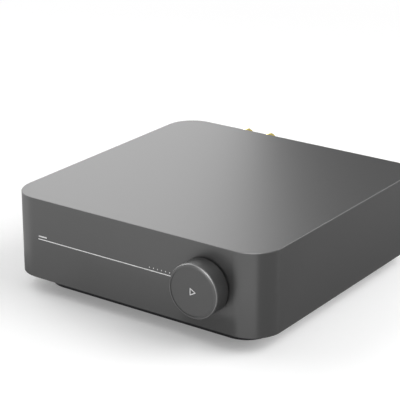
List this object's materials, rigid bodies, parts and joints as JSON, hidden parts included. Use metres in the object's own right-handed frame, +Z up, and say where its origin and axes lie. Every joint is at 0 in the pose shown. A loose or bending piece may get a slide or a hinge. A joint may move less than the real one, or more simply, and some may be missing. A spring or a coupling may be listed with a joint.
{
  "type": "streaming amplifier",
  "caption": "Low square aluminium-cased streaming amplifier with rounded corners, recessed black base, large round press-and-turn front knob and rear speaker terminals.",
  "frame": {"origin": "on the floor, under the centre of the casing's square plan, in the plane of the rubber ring's lower face", "axes": "+Z up, +Y towards the sockets at the back (the front with the knob faces -Y), +X to the right as seen from the front"},
  "size_m": [0.19, 0.2264, 0.063],
  "materials": {
    "anodised_aluminium": "bead-blasted and anodised dark grey, satin",
    "knob_aluminium": "fine turned and anodised dark grey, polished edge",
    "black_plastic": "fine matt texture",
    "black_steel": "matt black powder coat",
    "rubber": "matt",
    "line_inlay": "satin light grey",
    "light_guide": "milky, back-lit",
    "lamp": "clear resin",
    "symbol": "satin light grey",
    "screw_steel": "black zinc",
    "bright_steel": "plain",
    "nickel": "nickel plate",
    "gold": "gold plate, polished",
    "brass": "turned",
    "red_plastic": "gloss",
    "white_plastic": "gloss",
    "circuit_board": "solder mask, satin",
    "component_black": "moulded",
    "capacitor_sleeve": "shrink sleeve",
    "film_box": "moulded box",
    "ferrite": "sintered",
    "sink_aluminium": "extruded, plain",
    "antenna_board": "flexible circuit",
    "lead_insulation": "extruded",
    "ribbon": "ribbed",
    "header_plastic": "moulded"
  },
  "bodies": {
    "chassis": {"shell": "anodised_aluminium", "bottom_cover": "black_steel", "base_plinth": "black_plastic", "rubber_foot_ring": "rubber", "outer_screws": "screw_steel", "board_screws": "bright_steel", "front_accent_line": "line_inlay", "front_light_guides": "light_guide", "indicator_lamps": "lamp", "encoder_body": "component_black", "encoder_fixings": "nickel", "front_board": "circuit_board", "main_board": "circuit_board", "power_board": "circuit_board", "analogue_board": "circuit_board", "terminal_board": "circuit_board", "board_spacers": "brass", "rear_panel": "black_plastic", "terminal_studs": "gold", "terminal_insulators_red": "red_plastic", "terminal_insulators_black": "component_black", "terminal_nuts": "brass", "jack_housings": "component_black", "jack_barrels": "gold", "jack_contacts": "gold", "jack_insert_white": "white_plastic", "jack_insert_red": "red_plastic", "jack_insert_black": "component_black", "hdmi_socket": "nickel", "usb_socket": "nickel", "port_tongues": "component_black", "network_socket": "component_black", "optical_socket": "component_black", "mains_inlet": "component_black", "inlet_pins": "nickel", "heat_sinks": "sink_aluminium", "bulk_capacitors": "capacitor_sleeve", "power_transformer": "ferrite", "wound_parts": "ferrite", "film_capacitors": "film_box", "board_chips": "component_black", "wireless_module": "bright_steel", "antennas": "antenna_board", "board_headers": "header_plastic", "ribbon_cable": "ribbon", "power_leads": "lead_insulation"},
    "switch_plunger": {"push_switch_plunger": "component_black"},
    "knob": {"knob_cap": "knob_aluminium", "knob_hub": "component_black", "knob_play_symbol": "symbol", "encoder_shaft": "bright_steel"},
    "pressure_ring_1": {"pressure_ring_1": "nickel"},
    "thumb_nut_1": {"thumb_nut_1": "gold"},
    "pressure_ring_2": {"pressure_ring_2": "nickel"},
    "thumb_nut_2": {"thumb_nut_2": "gold"},
    "pressure_ring_3": {"pressure_ring_3": "nickel"},
    "thumb_nut_3": {"thumb_nut_3": "gold"},
    "pressure_ring_4": {"pressure_ring_4": "nickel"},
    "thumb_nut_4": {"thumb_nut_4": "gold"},
    "optical_shutter": {"optical_shutter": "component_black"}
  },
  "joints": [
    {"name": "knob_press", "type": "slide", "parent": "chassis", "child": "switch_plunger", "axis": [0, 1, 0], "range_m": [0, 0.0005], "stiffness_N_per_m": 2000, "springref_m": -0.001},
    {"name": "knob_turn", "type": "hinge", "parent": "switch_plunger", "child": "knob", "pos_m": [0.0554, -0.1, 0.0374], "axis": [0, 1, 0], "continuous": true},
    {"name": "ring_1_travel", "type": "slide", "parent": "chassis", "child": "pressure_ring_1", "axis": [0, 1, 0], "range_m": [0, 0.003]},
    {"name": "thumb_nut_1_turn", "type": "hinge", "parent": "pressure_ring_1", "child": "thumb_nut_1", "pos_m": [-0.056, 0.108, 0.0505], "axis": [0, 1, 0], "range_deg": [0, 1440.5]},
    {"name": "ring_2_travel", "type": "slide", "parent": "chassis", "child": "pressure_ring_2", "axis": [0, 1, 0], "range_m": [0, 0.003]},
    {"name": "thumb_nut_2_turn", "type": "hinge", "parent": "pressure_ring_2", "child": "thumb_nut_2", "pos_m": [-0.03695, 0.108, 0.0505], "axis": [0, 1, 0], "range_deg": [0, 1440.5]},
    {"name": "ring_3_travel", "type": "slide", "parent": "chassis", "child": "pressure_ring_3", "axis": [0, 1, 0], "range_m": [0, 0.003]},
    {"name": "thumb_nut_3_turn", "type": "hinge", "parent": "pressure_ring_3", "child": "thumb_nut_3", "pos_m": [-0.056, 0.108, 0.03145], "axis": [0, 1, 0], "range_deg": [0, 1440.5]},
    {"name": "ring_4_travel", "type": "slide", "parent": "chassis", "child": "pressure_ring_4", "axis": [0, 1, 0], "range_m": [0, 0.003]},
    {"name": "thumb_nut_4_turn", "type": "hinge", "parent": "pressure_ring_4", "child": "thumb_nut_4", "pos_m": [-0.03695, 0.108, 0.03145], "axis": [0, 1, 0], "range_deg": [0, 1440.5]},
    {"name": "optical_shutter_swing", "type": "hinge", "parent": "chassis", "child": "optical_shutter", "pos_m": [-0.01916, 0.0936, 0.0313], "axis": [-1, 0, 0], "range_deg": [0, 86], "stiffness_Nm_per_rad": 0.0005, "springref_deg": -17.19}
  ],
  "couplings": [
    {"joint": "thumb_nut_1_turn", "follows": "ring_1_travel", "rad_per_m": 8377.6},
    {"joint": "thumb_nut_2_turn", "follows": "ring_2_travel", "rad_per_m": 8377.6},
    {"joint": "thumb_nut_3_turn", "follows": "ring_3_travel", "rad_per_m": 8377.6},
    {"joint": "thumb_nut_4_turn", "follows": "ring_4_travel", "rad_per_m": 8377.6}
  ]
}
